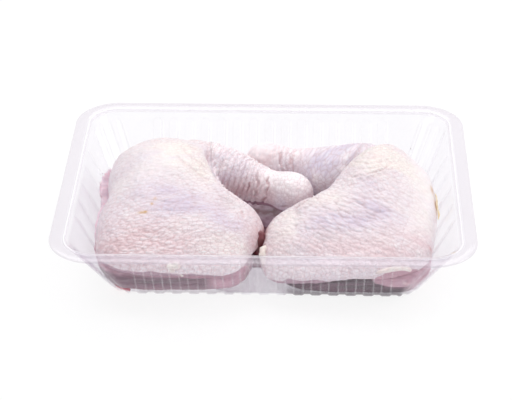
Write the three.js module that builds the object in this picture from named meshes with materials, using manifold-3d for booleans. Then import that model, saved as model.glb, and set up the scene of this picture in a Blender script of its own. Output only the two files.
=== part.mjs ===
// Open clear tray holding two raw, skin-on chicken leg quarters.
//
// Millimetres, +Z up. The origin is the centre of the tray's footprint, on the surface it stands on.
// +X runs along the tray's long side and -Y is its front.
// Each leg quarter is two solids: the skin-covered thigh and drumstick, and the bare flesh below the
// edge of the skin.

import * as THREE from 'three';
import { mergeVertices } from 'three/addons/utils/BufferGeometryUtils.js';
import Module from 'manifold-3d';

const wasm = await Module();
wasm.setup();

// ---- Driving dimensions ----

const TRAY_LENGTH = 227; // over the flange, along X
const TRAY_WIDTH = 178; // over the flange, along Y
const TRAY_HEIGHT = 45;
const WALL = 0.8;
const FLANGE_WIDTH = 8.5;
const FLANGE_CORNER_RADIUS = 24.9;
const LIP_DROP = 1.2; // turned-down outer edge of the flange
const END_WALL_TAPER = 21; // how far a short wall leans in from rim to base
const SIDE_WALL_TAPER = 30; // the same for a long wall
const BASE_CORNER_RADIUS = 13;
const BASE_EDGE_ROUND = 3;

const SIDE_FLUTE_DEPTH = 1.2; // flutes stand proud of the outside of the wall
const END_FLUTE_DEPTH = 0.6;
const FLUTE_TOP_GAP = 3.5; // plain band between the flange and the top of the flutes
const SIDE_FLUTE_PITCH = 9.5;
const SIDE_FLUTES = 15;
const SIDE_FLUTE_WIDTH = 6.4;
const END_FLUTE_PITCH = 18;
const END_FLUTES = 5;
const END_FLUTE_WIDTH = 2.6;
const FLUTE_FLANK = 1.1; // run of a flute's sloping flank
const CORNER_RIDGES = 4; // sharp ridges in place of flutes round each corner
const CORNER_RIDGE_SHARE = 0.6; // of the angle between two of them
const CORNER_RIDGE_DEPTH = 1.2;

const CONTACT_GAP = 0.3;
const ROOM_HEIGHT = 3 * TRAY_HEIGHT; // clears the tops of both legs
const MERGE_DISTANCE = 1e-4;

const AROUND_THIGH = 46;
const THIGH_RINGS_UP = 9;
const THIGH_RINGS_DOWN = 4;
const AROUND_FLESH = 40;
const AROUND_DRUMSTICK = 20;
const DRUMSTICK_RINGS = 17;
const DRUMSTICK_CAP_RINGS = 4;

// ---- Shared helpers ----

/** A closed triangle mesh from rings of points. Each ring has the same number of points. */
function meshFromRings(rings, startPole, endPole) {
  const around = rings[0].length;
  const points = [...rings.flat(), startPole, endPole];
  const start = points.length - 2;
  const end = points.length - 1;
  const last = (rings.length - 1) * around;
  const faces = [];
  for (let i = 0; i < around; i++) {
    const next = (i + 1) % around;
    faces.push(start, next, i);
    faces.push(end, last + i, last + next);
    for (let ring = 0; ring < rings.length - 1; ring++) {
      const here = ring * around;
      const above = here + around;
      faces.push(here + i, here + next, above + next);
      faces.push(here + i, above + next, above + i);
    }
  }
  const geometry = new THREE.BufferGeometry();
  geometry.setAttribute('position', new THREE.Float32BufferAttribute(points.flatMap((p) => p.toArray()), 3));
  geometry.setIndex(faces);
  return geometry;
}

function toManifold(geometry) {
  const bare = geometry.clone();
  bare.deleteAttribute('normal');
  bare.deleteAttribute('uv');
  const merged = mergeVertices(bare, MERGE_DISTANCE);
  return new wasm.Manifold(new wasm.Mesh({
    numProp: 3,
    vertProperties: new Float32Array(merged.attributes.position.array),
    triVerts: new Uint32Array(merged.index.array),
  }));
}

function toGeometry(manifold) {
  const mesh = manifold.getMesh();
  const geometry = new THREE.BufferGeometry();
  geometry.setAttribute('position', new THREE.Float32BufferAttribute(mesh.vertProperties, 3));
  geometry.setIndex(new THREE.Uint32BufferAttribute(mesh.triVerts, 1));
  geometry.computeVertexNormals();
  return geometry;
}

// ---- Tray ----

const RIM_HALF = new THREE.Vector2(TRAY_LENGTH / 2, TRAY_WIDTH / 2);
const MOUTH_HALF = RIM_HALF.clone().subScalar(FLANGE_WIDTH);
const MOUTH_CORNER_RADIUS = FLANGE_CORNER_RADIUS - FLANGE_WIDTH;
const BASE_HALF = new THREE.Vector2(MOUTH_HALF.x - END_WALL_TAPER, MOUTH_HALF.y - SIDE_WALL_TAPER);

/**
 * The tray's outline as stations. A station lies on one straight wall or one corner arc, and has the
 * depth of the flute or ridge there.
 */
function wallStations() {
  const flute = (middle, width, depth) => [
    { at: middle - width / 2, depth: 0 },
    { at: middle - width / 2 + FLUTE_FLANK, depth },
    { at: middle + width / 2 - FLUTE_FLANK, depth },
    { at: middle + width / 2, depth: 0 },
  ];
  const ridge = (middle, width) => [
    { at: middle - width / 2, depth: 0 },
    { at: middle, depth: CORNER_RIDGE_DEPTH },
    { at: middle + width / 2, depth: 0 },
  ];
  const numbers = (count) => Array.from({ length: count }, (_, i) => i);
  const wall = (count, pitch, width, depth) => numbers(count)
    .flatMap((i) => flute((i - (count - 1) / 2) * pitch, width, depth));
  const ridgePitch = Math.PI / 2 / CORNER_RIDGES;
  const corner = numbers(CORNER_RIDGES)
    .flatMap((i) => ridge((i + 0.5) * ridgePitch, ridgePitch * CORNER_RIDGE_SHARE));

  const stations = [];
  for (let side = 0; side < 4; side++) {
    const isLong = side % 2 === 0;
    const along = isLong
      ? wall(SIDE_FLUTES, SIDE_FLUTE_PITCH, SIDE_FLUTE_WIDTH, SIDE_FLUTE_DEPTH)
      : wall(END_FLUTES, END_FLUTE_PITCH, END_FLUTE_WIDTH, END_FLUTE_DEPTH);
    stations.push(...along.map((s) => ({ side, kind: 'straight', ...s })));
    stations.push(...corner.map((s) => ({ side, kind: 'corner', ...s })));
  }
  return stations;
}

/** The point of a station on a rounded rectangle, pushed outwards by `out`. Side 0 is the front. */
function onOutline(station, half, radius, out, z) {
  const turn = (station.side * Math.PI) / 2;
  const isLong = station.side % 2 === 0;
  const run = isLong ? half.x : half.y;
  const reach = isLong ? half.y : half.x;
  const point = new THREE.Vector3();
  if (station.kind === 'straight') {
    point.set(station.at, -reach - out, z);
  } else {
    const angle = station.at - Math.PI / 2;
    point.set(
      run - radius + (radius + out) * Math.cos(angle),
      radius - reach + (radius + out) * Math.sin(angle),
      z,
    );
  }
  return point.applyAxisAngle(new THREE.Vector3(0, 0, 1), turn);
}

/** A ring round the wall at height z, between the mouth and the base. */
function wallRing(stations, z, inwards, fluteShare) {
  const share = (TRAY_HEIGHT - z) / TRAY_HEIGHT;
  const half = MOUTH_HALF.clone().lerp(BASE_HALF, share);
  const radius = THREE.MathUtils.lerp(MOUTH_CORNER_RADIUS, BASE_CORNER_RADIUS, share);
  return stations.map((s) => onOutline(s, half, radius, s.depth * fluteShare - inwards, z));
}

function flangeRing(stations, inwards, z) {
  return stations.map((s) => onOutline(s, RIM_HALF, FLANGE_CORNER_RADIUS, -inwards, z));
}

function trayGeometry() {
  const stations = wallStations();
  const fluteTop = TRAY_HEIGHT - FLUTE_TOP_GAP;
  const bare = (z, inwards) => wallRing(stations, z, inwards, 0);
  const fluted = (z, inwards) => wallRing(stations, z, inwards, 1);
  const rings = [
    fluted(0, BASE_EDGE_ROUND),
    fluted(BASE_EDGE_ROUND, 0),
    fluted(fluteTop - SIDE_FLUTE_DEPTH, 0),
    bare(fluteTop, 0),
    bare(TRAY_HEIGHT - WALL, 0),
    flangeRing(stations, WALL, TRAY_HEIGHT - WALL),
    flangeRing(stations, WALL, TRAY_HEIGHT - LIP_DROP),
    flangeRing(stations, 0, TRAY_HEIGHT - LIP_DROP),
    flangeRing(stations, 0, TRAY_HEIGHT),
    bare(TRAY_HEIGHT, WALL),
    bare(fluteTop, WALL),
    fluted(fluteTop - SIDE_FLUTE_DEPTH, WALL),
    fluted(BASE_EDGE_ROUND, WALL),
    fluted(WALL, BASE_EDGE_ROUND),
  ];
  return meshFromRings(rings, new THREE.Vector3(0, 0, 0), new THREE.Vector3(0, 0, WALL));
}

/** What fits inside the tray with the contact gap all round, open-topped far above the rim. */
function trayRoom() {
  const stations = wallStations();
  const clear = WALL + CONTACT_GAP;
  const ring = (z) => wallRing(stations, z, clear, 0);
  const rings = [
    wallRing(stations, clear, BASE_EDGE_ROUND + CONTACT_GAP, 0),
    ring(BASE_EDGE_ROUND + CONTACT_GAP),
    ring(ROOM_HEIGHT),
  ];
  const bottom = new THREE.Vector3(0, 0, clear);
  const top = new THREE.Vector3(0, 0, ROOM_HEIGHT);
  return toManifold(meshFromRings(rings, bottom, top));
}

// ---- Leg quarters ----

const bump = (x, y, at, reach) => Math.exp(-((x - at.x) ** 2 + (y - at.y) ** 2) / (2 * reach ** 2));

/**
 * A lump of meat over a plan outline. The outline is its widest line and may rise and fall. Above it
 * the surface swells to `crown(x, y)`, below it the surface turns under to `floor`.
 */
function lump({ outline, crown, floor, fullness, grow = 0 }, around) {
  const curve = new THREE.CatmullRomCurve3(outline.map((p) => new THREE.Vector3(...p)), true);
  const rim = curve.getSpacedPoints(around).slice(0, around);
  const middle = rim.reduce((sum, p) => sum.add(p), new THREE.Vector3()).divideScalar(around);
  const spread = (point, share) => {
    const outwards = point.clone().sub(middle).setZ(0).normalize().multiplyScalar(grow);
    return middle.clone().lerp(point.clone().add(outwards), share);
  };
  const ringAt = (angle, level) => rim.map((point) => {
    const share = Math.cos(angle) ** (2 / fullness);
    const rise = Math.sin(Math.abs(angle)) ** (2 / fullness);
    const p = spread(point, share);
    return p.setZ(THREE.MathUtils.lerp(point.z, level(p.x, p.y), rise));
  });
  const below = () => floor - grow;
  const above = (x, y) => crown(x, y) + grow;
  const rings = [];
  for (let i = THIGH_RINGS_DOWN - 1; i > 0; i--) {
    rings.push(ringAt((-Math.PI / 2) * (i / THIGH_RINGS_DOWN), below));
  }
  for (let i = 0; i < THIGH_RINGS_UP; i++) {
    rings.push(ringAt((Math.PI / 2) * (i / THIGH_RINGS_UP), above));
  }
  const bottom = middle.clone().setZ(below());
  const top = middle.clone().setZ(above(middle.x, middle.y));
  return meshFromRings(rings, bottom, top);
}

/** A drumstick along a curve, with a radius at each point of it and rounded ends. */
function limb(stations, grow = 0) {
  const curve = new THREE.CatmullRomCurve3(stations.map((s) => new THREE.Vector3(...s.at)));
  const radii = new THREE.CatmullRomCurve3(stations.map((s, i) => new THREE.Vector3(i, s.radius + grow, 0)));
  const length = curve.getLength();
  const firstRadius = stations[0].radius;
  const lastRadius = stations[stations.length - 1].radius;
  const places = [];
  for (let i = 1; i <= DRUMSTICK_CAP_RINGS; i++) {
    places.push(1 - Math.cos((Math.PI / 2) * (i / DRUMSTICK_CAP_RINGS)));
  }
  const steps = [
    ...places.map((p) => p * firstRadius),
    ...Array.from({ length: DRUMSTICK_RINGS }, (_, i) => THREE.MathUtils.lerp(
      firstRadius,
      length - lastRadius,
      (i + 1) / (DRUMSTICK_RINGS + 1),
    )),
    ...places.map((p) => length - p * lastRadius).reverse(),
  ];
  const endShare = (distance, radius) => {
    const inside = Math.min(distance / radius, 1);
    return Math.sqrt(1 - (1 - inside) ** 2);
  };
  const up = new THREE.Vector3(0, 0, 1);
  const rings = steps.map((distance) => {
    const u = distance / length;
    const t = curve.getUtoTmapping(u);
    const centre = curve.getPoint(t);
    const forwards = curve.getTangent(t);
    const across = new THREE.Vector3().crossVectors(up, forwards).normalize();
    const over = new THREE.Vector3().crossVectors(forwards, across);
    const radius = radii.getPoint(t).y
      * endShare(distance, firstRadius) * endShare(length - distance, lastRadius);
    return Array.from({ length: AROUND_DRUMSTICK }, (_, i) => {
      const angle = (2 * Math.PI * i) / AROUND_DRUMSTICK;
      return centre.clone()
        .addScaledVector(across, radius * Math.cos(angle))
        .addScaledVector(over, radius * Math.sin(angle));
    });
  });
  return meshFromRings(rings, curve.getPoint(0), curve.getPoint(1));
}

const LEFT_LEG = {
  skin: {
    outline: [
      [-88, -57, 24], [-62, -66, 22], [-34, -66, 21], [-13, -60, 21], [-4, -44, 23], [0, -27, 24],
      [-6, -14, 25], [-17, -4, 27], [-25, 8, 30], [-30, 24, 33], [-34, 39, 31], [-50, 49, 27],
      [-70, 49, 27], [-85, 38, 28], [-89, 20, 29], [-92, -5, 28], [-93, -32, 26],
    ],
    crown: (x, y) => 46 + 0.16 * (y + 10) + 5.5 * bump(x, y, { x: -52, y: 22 }, 25),
    floor: 17,
    fullness: 2.5,
  },
  drumstick: [
    { at: [-62, 34, 28], radius: 19 },
    { at: [-40, 34, 30], radius: 18 },
    { at: [-22, 30, 29.5], radius: 15 },
    { at: [-8, 25, 27], radius: 12 },
    { at: [3, 19.5, 27], radius: 10.3 },
    { at: [13, 14.5, 27.5], radius: 12 },
    { at: [26, 9, 28], radius: 10 },
  ],
  flesh: {
    outline: [
      [-86, -55, 15], [-60, -63, 15], [-34, -62, 15], [-14, -56, 15], [-6, -42, 15], [-5, -26, 15],
      [-13, -9, 15], [-21, 6, 16], [-27, 20, 17], [-34, 34, 18], [-54, 44, 18], [-76, 42, 22],
      [-92, 34, 35], [-96, 19, 35], [-94, 0, 27], [-96, -24, 27],
    ],
    crown: () => 25,
    floor: 1.1,
    fullness: 3,
  },
};

const RIGHT_LEG = {
  skin: {
    outline: [
      [2, -56, 15], [16, -62, 13], [40, -66, 18], [64, -65, 24], [88, -55, 27], [93, -36, 26],
      [96, -8, 27], [95, 16, 28], [88, 36, 28], [74, 46, 29], [61, 40, 32], [50, 27, 33],
      [41, 11, 31], [30, -2, 28], [14, -9, 25], [1, -22, 23], [-2, -40, 20],
    ],
    crown: (x, y) => 44 + 0.18 * (y + 10) + 0.03 * (x - 45) + 6 * bump(x, y, { x: 66, y: 20 }, 25),
    floor: 12,
    fullness: 2.5,
  },
  drumstick: [
    { at: [76, 32, 26], radius: 17 },
    { at: [58, 40, 26], radius: 17.5 },
    { at: [38, 44, 23.5], radius: 16.5 },
    { at: [22, 48, 24.5], radius: 12 },
    { at: [12, 49, 25.5], radius: 10 },
    { at: [1, 50, 26.5], radius: 12 },
    { at: [-14, 50, 28], radius: 10 },
  ],
  flesh: {
    outline: [
      [10, -46, 12], [22, -55, 12], [46, -61, 14], [72, -62, 15], [88, -54, 16], [95, -38, 18],
      [96, -14, 20], [96, 8, 22], [90, 28, 22], [76, 41, 19], [58, 40, 18], [43, 26, 17],
      [33, 10, 16], [22, -4, 15], [11, -17, 15], [7, -32, 14],
    ],
    crown: () => 23,
    floor: 1.1,
    fullness: 3,
  },
};

/** The skin-covered outside of a leg quarter, before the flesh and the tray take their room. */
function wholeLeg(leg, grow = 0) {
  const thigh = toManifold(lump({ ...leg.skin, grow }, AROUND_THIGH));
  return thigh.add(toManifold(limb(leg.drumstick, grow)));
}

/** One leg quarter's two solids. `room` is what it has to stay inside, and `past` what it gives way to. */
function legQuarter(leg, room, past) {
  const fleshRoom = toManifold(lump({ ...leg.flesh, grow: CONTACT_GAP }, AROUND_FLESH));
  const flesh = toManifold(lump(leg.flesh, AROUND_FLESH));
  const skin = wholeLeg(leg).subtract(fleshRoom).intersect(room);
  return {
    skin: toGeometry(past ? skin.subtract(past) : skin),
    flesh: toGeometry(flesh.intersect(room)),
  };
}

// ---- Materials and assembly ----

const material = (color, roughness) => new THREE.MeshStandardMaterial({ color, roughness, metalness: 0 });
const SKIN = material(0xe9dbe0, 0.5);
const FLESH = material(0xc79aa2, 0.4);
const CLEAR_PLASTIC = material(0xe8e8f4, 0.15);
CLEAR_PLASTIC.transparent = true;
CLEAR_PLASTIC.opacity = 0.35;

function named(name, geometry, look) {
  const mesh = new THREE.Mesh(geometry, look);
  mesh.name = name;
  return mesh;
}

const group = new THREE.Group();
const room = trayRoom();
const left = legQuarter(LEFT_LEG, room);
const right = legQuarter(RIGHT_LEG, room, wholeLeg(LEFT_LEG, CONTACT_GAP));
group.add(
  named('tray', trayGeometry(), CLEAR_PLASTIC),
  named('leg_left', left.skin, SKIN),
  named('leg_left_flesh', left.flesh, FLESH),
  named('leg_right', right.skin, SKIN),
  named('leg_right_flesh', right.flesh, FLESH),
);

export default group;
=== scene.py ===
# %% [markdown]
# # Two raw chicken leg quarters in an open clear tray
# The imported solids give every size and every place. The cells below dress them: the tray becomes a
# thin clear moulding, and each leg becomes wrinkled skin over bare meat. Sizes are in millimetres in
# the code and turned into metres when a mesh is made.

import math

import bpy
import numpy as np
from mathutils import Matrix, Vector
from mathutils.kdtree import KDTree


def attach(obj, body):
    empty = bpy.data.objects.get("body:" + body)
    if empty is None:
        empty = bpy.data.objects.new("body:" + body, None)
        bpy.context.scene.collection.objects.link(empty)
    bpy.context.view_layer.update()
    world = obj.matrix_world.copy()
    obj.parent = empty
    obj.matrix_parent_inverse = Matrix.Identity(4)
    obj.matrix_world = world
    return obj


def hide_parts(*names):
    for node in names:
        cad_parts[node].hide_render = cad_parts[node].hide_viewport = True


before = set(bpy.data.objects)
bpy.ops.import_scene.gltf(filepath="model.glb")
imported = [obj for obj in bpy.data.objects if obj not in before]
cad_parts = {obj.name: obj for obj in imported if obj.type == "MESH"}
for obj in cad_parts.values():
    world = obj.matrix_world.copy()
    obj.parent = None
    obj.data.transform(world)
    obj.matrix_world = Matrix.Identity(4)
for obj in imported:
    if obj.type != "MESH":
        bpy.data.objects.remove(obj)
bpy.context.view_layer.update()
MM = 0.001
scene = bpy.context.scene
print("solids:", ", ".join(sorted(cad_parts)))

# %% [markdown]
# ## Camera
# A long lens looks down at the front of the tray from about thirty degrees. Its place is worked out
# from the point it aims at, its height angle, its turn round the tray and its distance.

# %% Camera
LENS = 135.2
SENSOR = 36.0
HEIGHT_ANGLE = math.radians(30.652)
TURN = math.radians(2.029)
ROLL = math.radians(-0.412)
DISTANCE = 1.05197
AIM = Vector((-0.00478, -0.02412, 0.045))


def add_camera():
    """The camera, aimed at AIM."""
    data = bpy.data.cameras.new("camera")
    data.sensor_fit = "HORIZONTAL"
    data.sensor_width = SENSOR
    data.lens = LENS
    data.clip_start = 0.01
    data.clip_end = 200
    camera = bpy.data.objects.new("camera", data)
    scene.collection.objects.link(camera)
    flat = math.cos(HEIGHT_ANGLE)
    back = Vector((math.sin(TURN) * flat, -math.cos(TURN) * flat, math.sin(HEIGHT_ANGLE)))
    right = Vector((math.cos(TURN), math.sin(TURN), 0))
    axes = Matrix((right, back.cross(right), back)).transposed()
    roll = Matrix.Rotation(ROLL, 3, "Z")
    camera.matrix_world = Matrix.Translation(AIM + back * DISTANCE) @ (axes @ roll).to_4x4()
    scene.camera = camera
    return camera


print("camera at", [round(x, 3) for x in add_camera().matrix_world.translation])

# %% [markdown]
# ## Floor and light
# Clear plastic shows only by what it reflects and by its faint haze, so it stands on a white floor
# in an almost white room. One large lamp overhead gives the meat its soft shading. A smaller one from
# the right and a weak one from the left front give the wet skin and the flutes their highlights. The
# floor glows a little, which keeps it white without a brighter lamp that would bleach the skin.

# %% Floor and light
ROOM_LIGHT = 0.56
FLOOR_REACH = 20
FLOOR_GAP = 0.0001
FLOOR_COLOUR = (0.14, 0.14, 0.142, 1)
FLOOR_GLOW = 0.86


def add_floor():
    """A wide white floor just under the tray."""
    mesh = bpy.data.meshes.new("floor")
    corners = [(-FLOOR_REACH, -FLOOR_REACH, 0), (FLOOR_REACH, -FLOOR_REACH, 0)]
    corners += [(FLOOR_REACH, FLOOR_REACH, 0), (-FLOOR_REACH, FLOOR_REACH, 0)]
    mesh.from_pydata(corners, [], [(0, 1, 2, 3)])
    floor = bpy.data.objects.new("floor", mesh)
    scene.collection.objects.link(floor)
    finish = bpy.data.materials.new("matt_white_floor")
    finish.use_nodes = True
    surface = finish.node_tree.nodes["Principled BSDF"]
    surface.inputs["Base Color"].default_value = FLOOR_COLOUR
    surface.inputs["Roughness"].default_value = 0.9
    surface.inputs["Specular IOR Level"].default_value = 0.1
    surface.inputs["Emission Color"].default_value = (1, 1, 1, 1)
    surface.inputs["Emission Strength"].default_value = FLOOR_GLOW
    mesh.materials.append(finish)
    floor.location.z = -FLOOR_GAP


def add_lamp(name, place, aim, size, power):
    """A soft square lamp."""
    data = bpy.data.lights.new(name, "AREA")
    data.shape = "SQUARE"
    data.size = size
    data.energy = power
    lamp = bpy.data.objects.new(name, data)
    lamp.location = place
    lamp.rotation_euler = (Vector(aim) - Vector(place)).to_track_quat("-Z", "Y").to_euler()
    scene.collection.objects.link(lamp)


def add_room():
    """A white room: full white where it is seen or mirrored, and dimmer as a light."""
    world = bpy.data.worlds.new("white_room")
    world.use_nodes = True
    scene.world = world
    tree = world.node_tree
    path = tree.nodes.new("ShaderNodeLightPath")
    shown = tree.nodes.new("ShaderNodeMath")
    shown.operation = "MAXIMUM"
    level = tree.nodes.new("ShaderNodeMapRange")
    level.inputs["To Min"].default_value = ROOM_LIGHT
    level.inputs["To Max"].default_value = 1.0
    tree.links.new(path.outputs["Is Camera Ray"], shown.inputs[0])
    tree.links.new(path.outputs["Is Glossy Ray"], shown.inputs[1])
    tree.links.new(shown.outputs[0], level.inputs["Value"])
    tree.links.new(level.outputs["Result"], tree.nodes["Background"].inputs["Strength"])
    tree.nodes["Background"].inputs["Color"].default_value = (1, 1, 1, 1)


add_floor()
add_room()
add_lamp("overhead", (-0.1, 0.55, 1.0), (0, 0, 0), 1.0, 7.4)
add_lamp("side", (1.0, 0.0, 0.7), (0, 0, 0.03), 0.5, 4)
add_lamp("front", (-0.9, -0.6, 0.9), (0, 0, 0.02), 0.8, 1.8)
scene.view_settings.view_transform = "Standard"
print("floor, room and three lamps")

# %% [markdown]
# ## Tools for uneven surfaces
# Skin and meat are never even. These tools give every point in space a number that changes smoothly
# (waves) or that follows a pattern of cells with cracks between them (cells). Numpy works on all
# points of a mesh at once, which is much faster than a loop, and the same seed always gives the same
# pattern.

# %% Noise
SCRAMBLE = 0xFFFFFFFF
EASE_IN = 3


def chance(cells, seed):
    """A repeatable number from 0 to 1 for every whole-number cell."""
    mixed = (cells[..., 0] * 73856093) ^ (cells[..., 1] * 19349663) ^ (cells[..., 2] * 83492791)
    mixed = (mixed ^ (seed * 40503)) & SCRAMBLE
    mixed = ((mixed ^ (mixed >> 15)) * 739982445) & SCRAMBLE
    mixed = ((mixed ^ (mixed >> 12)) * 695872825) & SCRAMBLE
    return ((mixed ^ (mixed >> 15)) & 0xFFFFFF) / 0xFFFFFF


def waves(points, size, seed):
    """Soft waves from -1 to 1, about `size` apart. `size` may differ along x, y and z."""
    place = points / np.asarray(size, float)
    cell = np.floor(place).astype(np.int64)
    part = place - cell
    part = part * part * (EASE_IN - 2 * part)
    total = np.zeros(len(points))
    for corner in np.ndindex(2, 2, 2):
        share = np.prod(np.where(corner, part, 1 - part), axis=1)
        total += share * chance(cell + np.array(corner), seed)
    return total * 2 - 1


def rough_waves(points, size, seed, layers=3):
    """Waves with finer waves on them."""
    total = np.zeros(len(points))
    for layer in range(layers):
        total += waves(points, np.asarray(size, float) / 2**layer, seed + layer) / 2**layer
    return total


def cells(points, size, seed):
    """Uneven cells: how far each point is from its cell's middle, and how far it is from the crack."""
    place = points / np.asarray(size, float)
    home = np.floor(place).astype(np.int64)
    nearest = np.full(len(points), 9.0)
    second = np.full(len(points), 9.0)
    for step in np.ndindex(3, 3, 3):
        cell = home + np.array(step) - 1
        middle = cell + np.stack([chance(cell, seed + k) for k in range(3)], axis=1)
        away = np.linalg.norm(place - middle, axis=1)
        second = np.minimum(second, np.maximum(nearest, away))
        nearest = np.minimum(nearest, away)
    return nearest, second - nearest


def ease(value, low, high):
    """0 up to low, 1 from high, and a smooth step between them."""
    part = np.clip((value - low) / (high - low), 0, 1)
    return part * part * (EASE_IN - 2 * part)


def soft_place(points, middle, reach):
    """A soft round place: 1 in its middle and almost 0 at twice its reach."""
    away = np.linalg.norm((points - np.array(middle)) / np.asarray(reach, float), axis=1)
    return np.exp(-(away**2))


def soft_band(value, middle, reach):
    """The same along one direction: 1 at the middle value, less on both sides."""
    return np.exp(-(((value - middle) / reach) ** 2))


print("waves at the origin:", round(float(waves(np.zeros((1, 3)), 10, 1)[0]), 3))

# %% [markdown]
# ## Clay: a mesh that can be pushed about
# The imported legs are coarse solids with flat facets. Each is copied, remeshed into an even fine net
# and smoothed, which leaves the form and takes the facets away. From then on it is treated as clay:
# strokes along short paths swell it, sink it or cut a crease, and masks remember where, so that the
# material can colour the same places.

# %% Soft paths
PATH_POINTS = 48


def smooth_path(path, count=PATH_POINTS):
    """Evenly spread points on a soft curve through the path's points."""
    path = np.asarray(path, float)
    padded = np.vstack([2 * path[0] - path[1], path, 2 * path[-1] - path[-2]])
    places = np.linspace(0, len(path) - 1 - 1e-9, count)
    span = places.astype(int)
    t = (places - span)[:, None]
    p0, p1, p2, p3 = (padded[span + k] for k in range(4))
    bend = 2 * p0 - 5 * p1 + 4 * p2 - p3
    twist = 3 * p1 - p0 - 3 * p2 + p3
    return 0.5 * (2 * p1 + (p2 - p0) * t + bend * t**2 + twist * t**3)


def nearest_on(points, line):
    """For each point, how far it is from a line, how far along the line, and 1 on its right or -1."""
    away = np.full(len(points), np.inf)
    along, right = np.zeros(len(points)), np.zeros(len(points))
    for k in range(len(line) - 1):
        span = line[k + 1] - line[k]
        t = np.clip((points - line[k]) @ span / (span @ span), 0, 1)
        offset = points - line[k] - t[:, None] * span
        gap = np.linalg.norm(offset, axis=1)
        closer = gap < away
        away = np.where(closer, gap, away)
        along = np.where(closer, (k + t) / (len(line) - 1), along)
        right = np.where(closer, offset[:, 0] * span[1] - offset[:, 1] * span[0], right)
    return away, along, np.sign(right)


print("a path becomes", PATH_POINTS, "points")

# %% Clay
NET = 0.6
STROKE_FADE = 0.15
WELT = 0.3


def keep_mask(mesh, name, values):
    """Writes one number for each point on the mesh, where a material can read it."""
    attribute = mesh.attributes.new(name, "FLOAT", "POINT")
    attribute.data.foreach_set("value", values.astype(np.float32))


class Clay:
    """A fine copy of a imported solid, as points in millimetres that strokes move."""

    def __init__(self, node, name, net=NET, smoothing=30):
        self.piece = bpy.data.objects.new(name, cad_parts[node].data.copy())
        scene.collection.objects.link(self.piece)
        remesh = self.piece.modifiers.new("even_net", "REMESH")
        remesh.mode = "VOXEL"
        remesh.voxel_size = net * MM
        rounding = self.piece.modifiers.new("rounding", "SMOOTH")
        rounding.factor = 0.5
        rounding.iterations = smoothing
        shaped = self.piece.evaluated_get(bpy.context.evaluated_depsgraph_get())
        mesh = bpy.data.meshes.new_from_object(shaped)
        self.piece.modifiers.clear()
        self.piece.data = mesh
        mesh.name = name
        mesh.materials.clear()
        mesh.polygons.foreach_set("use_smooth", [True] * len(mesh.polygons))
        self.masks = {}
        self.read()

    def read(self):
        """Takes the points and their outward directions from the mesh."""
        mesh = self.piece.data
        flat = np.empty(len(mesh.vertices) * 3, np.float32)
        mesh.vertices.foreach_get("co", flat)
        self.points = flat.reshape(-1, 3).astype(float) / MM
        flat = np.empty(len(mesh.vertices) * 3, np.float32)
        mesh.vertex_normals.foreach_get("vector", flat)
        self.outward = flat.reshape(-1, 3).astype(float)

    def write(self):
        """Puts the points back into the mesh and takes fresh outward directions."""
        mesh = self.piece.data
        mesh.vertices.foreach_set("co", (self.points * MM).astype(np.float32).ravel())
        mesh.update()
        self.read()

    def swell(self, amount):
        """Moves every point outwards by its own amount."""
        self.points += self.outward * amount[:, None]

    def near(self, path):
        """Distance from each point to a path, and how far along the path its nearest place is."""
        away, along, _ = nearest_on(self.points, smooth_path(path))
        return away, along

    def side(self, path):
        """Seen from above, how far each point lies to the right of a path: less than 0 on its left."""
        away, _, right = nearest_on(self.points[:, :2], smooth_path(path)[:, :2])
        return right * away

    def bulge(self, place, reach, amount):
        """Swells a soft round place, or presses it in. `reach` may differ along x, y and z."""
        self.swell(amount * soft_place(self.points, place, reach))

    def stroke(self, path, width, depth):
        """Cuts a crease along a path, deepest in its middle, with a low welt on both sides."""
        away, along = self.near(path)
        ends = ease(along, 0, STROKE_FADE) * ease(1 - along, 0, STROKE_FADE)
        groove = soft_band(away, 0, width) * ends
        welt = soft_band(away, 2.2 * width, width) * ends
        self.swell(WELT * depth * welt - depth * groove)
        # The crease mask carries painted shade: the material darkens the groove's colour.
        self.mark("crease", groove * min(1, depth / 1.5))

    def patch(self, name, place, reach, amount=1.0):
        """Adds a soft round patch to a mask. `reach` may differ along x, y and z."""
        self.mark(name, amount * soft_place(self.points, place, reach))

    def mark(self, name, values):
        """Adds to a mask, which stays between 0 and 1."""
        self.masks[name] = np.clip(self.masks.get(name, 0) + values, 0, 1)

    def keep_masks(self):
        """Writes all masks and the grain on the mesh."""
        for name, values in self.masks.items():
            keep_mask(self.piece.data, name, values)
        grain = self.piece.data.attributes.new("grain", "FLOAT_VECTOR", "POINT")
        grain.data.foreach_set("vector", self.grain.astype(np.float32).ravel())


print("a net of", NET, "mm")

# %% [markdown]
# ## The tray's inside
# The meat sags against the tray, so nothing may push through its walls. The tray is a rounded
# rectangle that narrows downwards, and any point found outside it is moved back in.

# %% Tray sizes
TRAY_LENGTH, TRAY_WIDTH, TRAY_HEIGHT = 227, 178, 45
WALL = 0.8
FLANGE = 8.5
FLANGE_CORNER = 24.9
MOUTH_HALF = np.array([TRAY_LENGTH / 2 - FLANGE, TRAY_WIDTH / 2 - FLANGE])
MOUTH_CORNER = FLANGE_CORNER - FLANGE
BASE_HALF = MOUTH_HALF - np.array([21, 30])
BASE_CORNER = 13
BASE_ROUND = 3


def outline_at(z):
    """Half length, half width and corner radius of the tray's outer wall at height z."""
    share = (TRAY_HEIGHT - np.asarray(z, float)) / TRAY_HEIGHT
    half = MOUTH_HALF + (BASE_HALF - MOUTH_HALF) * share[..., None]
    return half, MOUTH_CORNER + (BASE_CORNER - MOUTH_CORNER) * share


def past_core(over):
    """How far points are outside a core with sharp corners, from how far they are past its sides."""
    return np.linalg.norm(np.maximum(over, 0), axis=1) + np.minimum(over.max(axis=1), 0)


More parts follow.
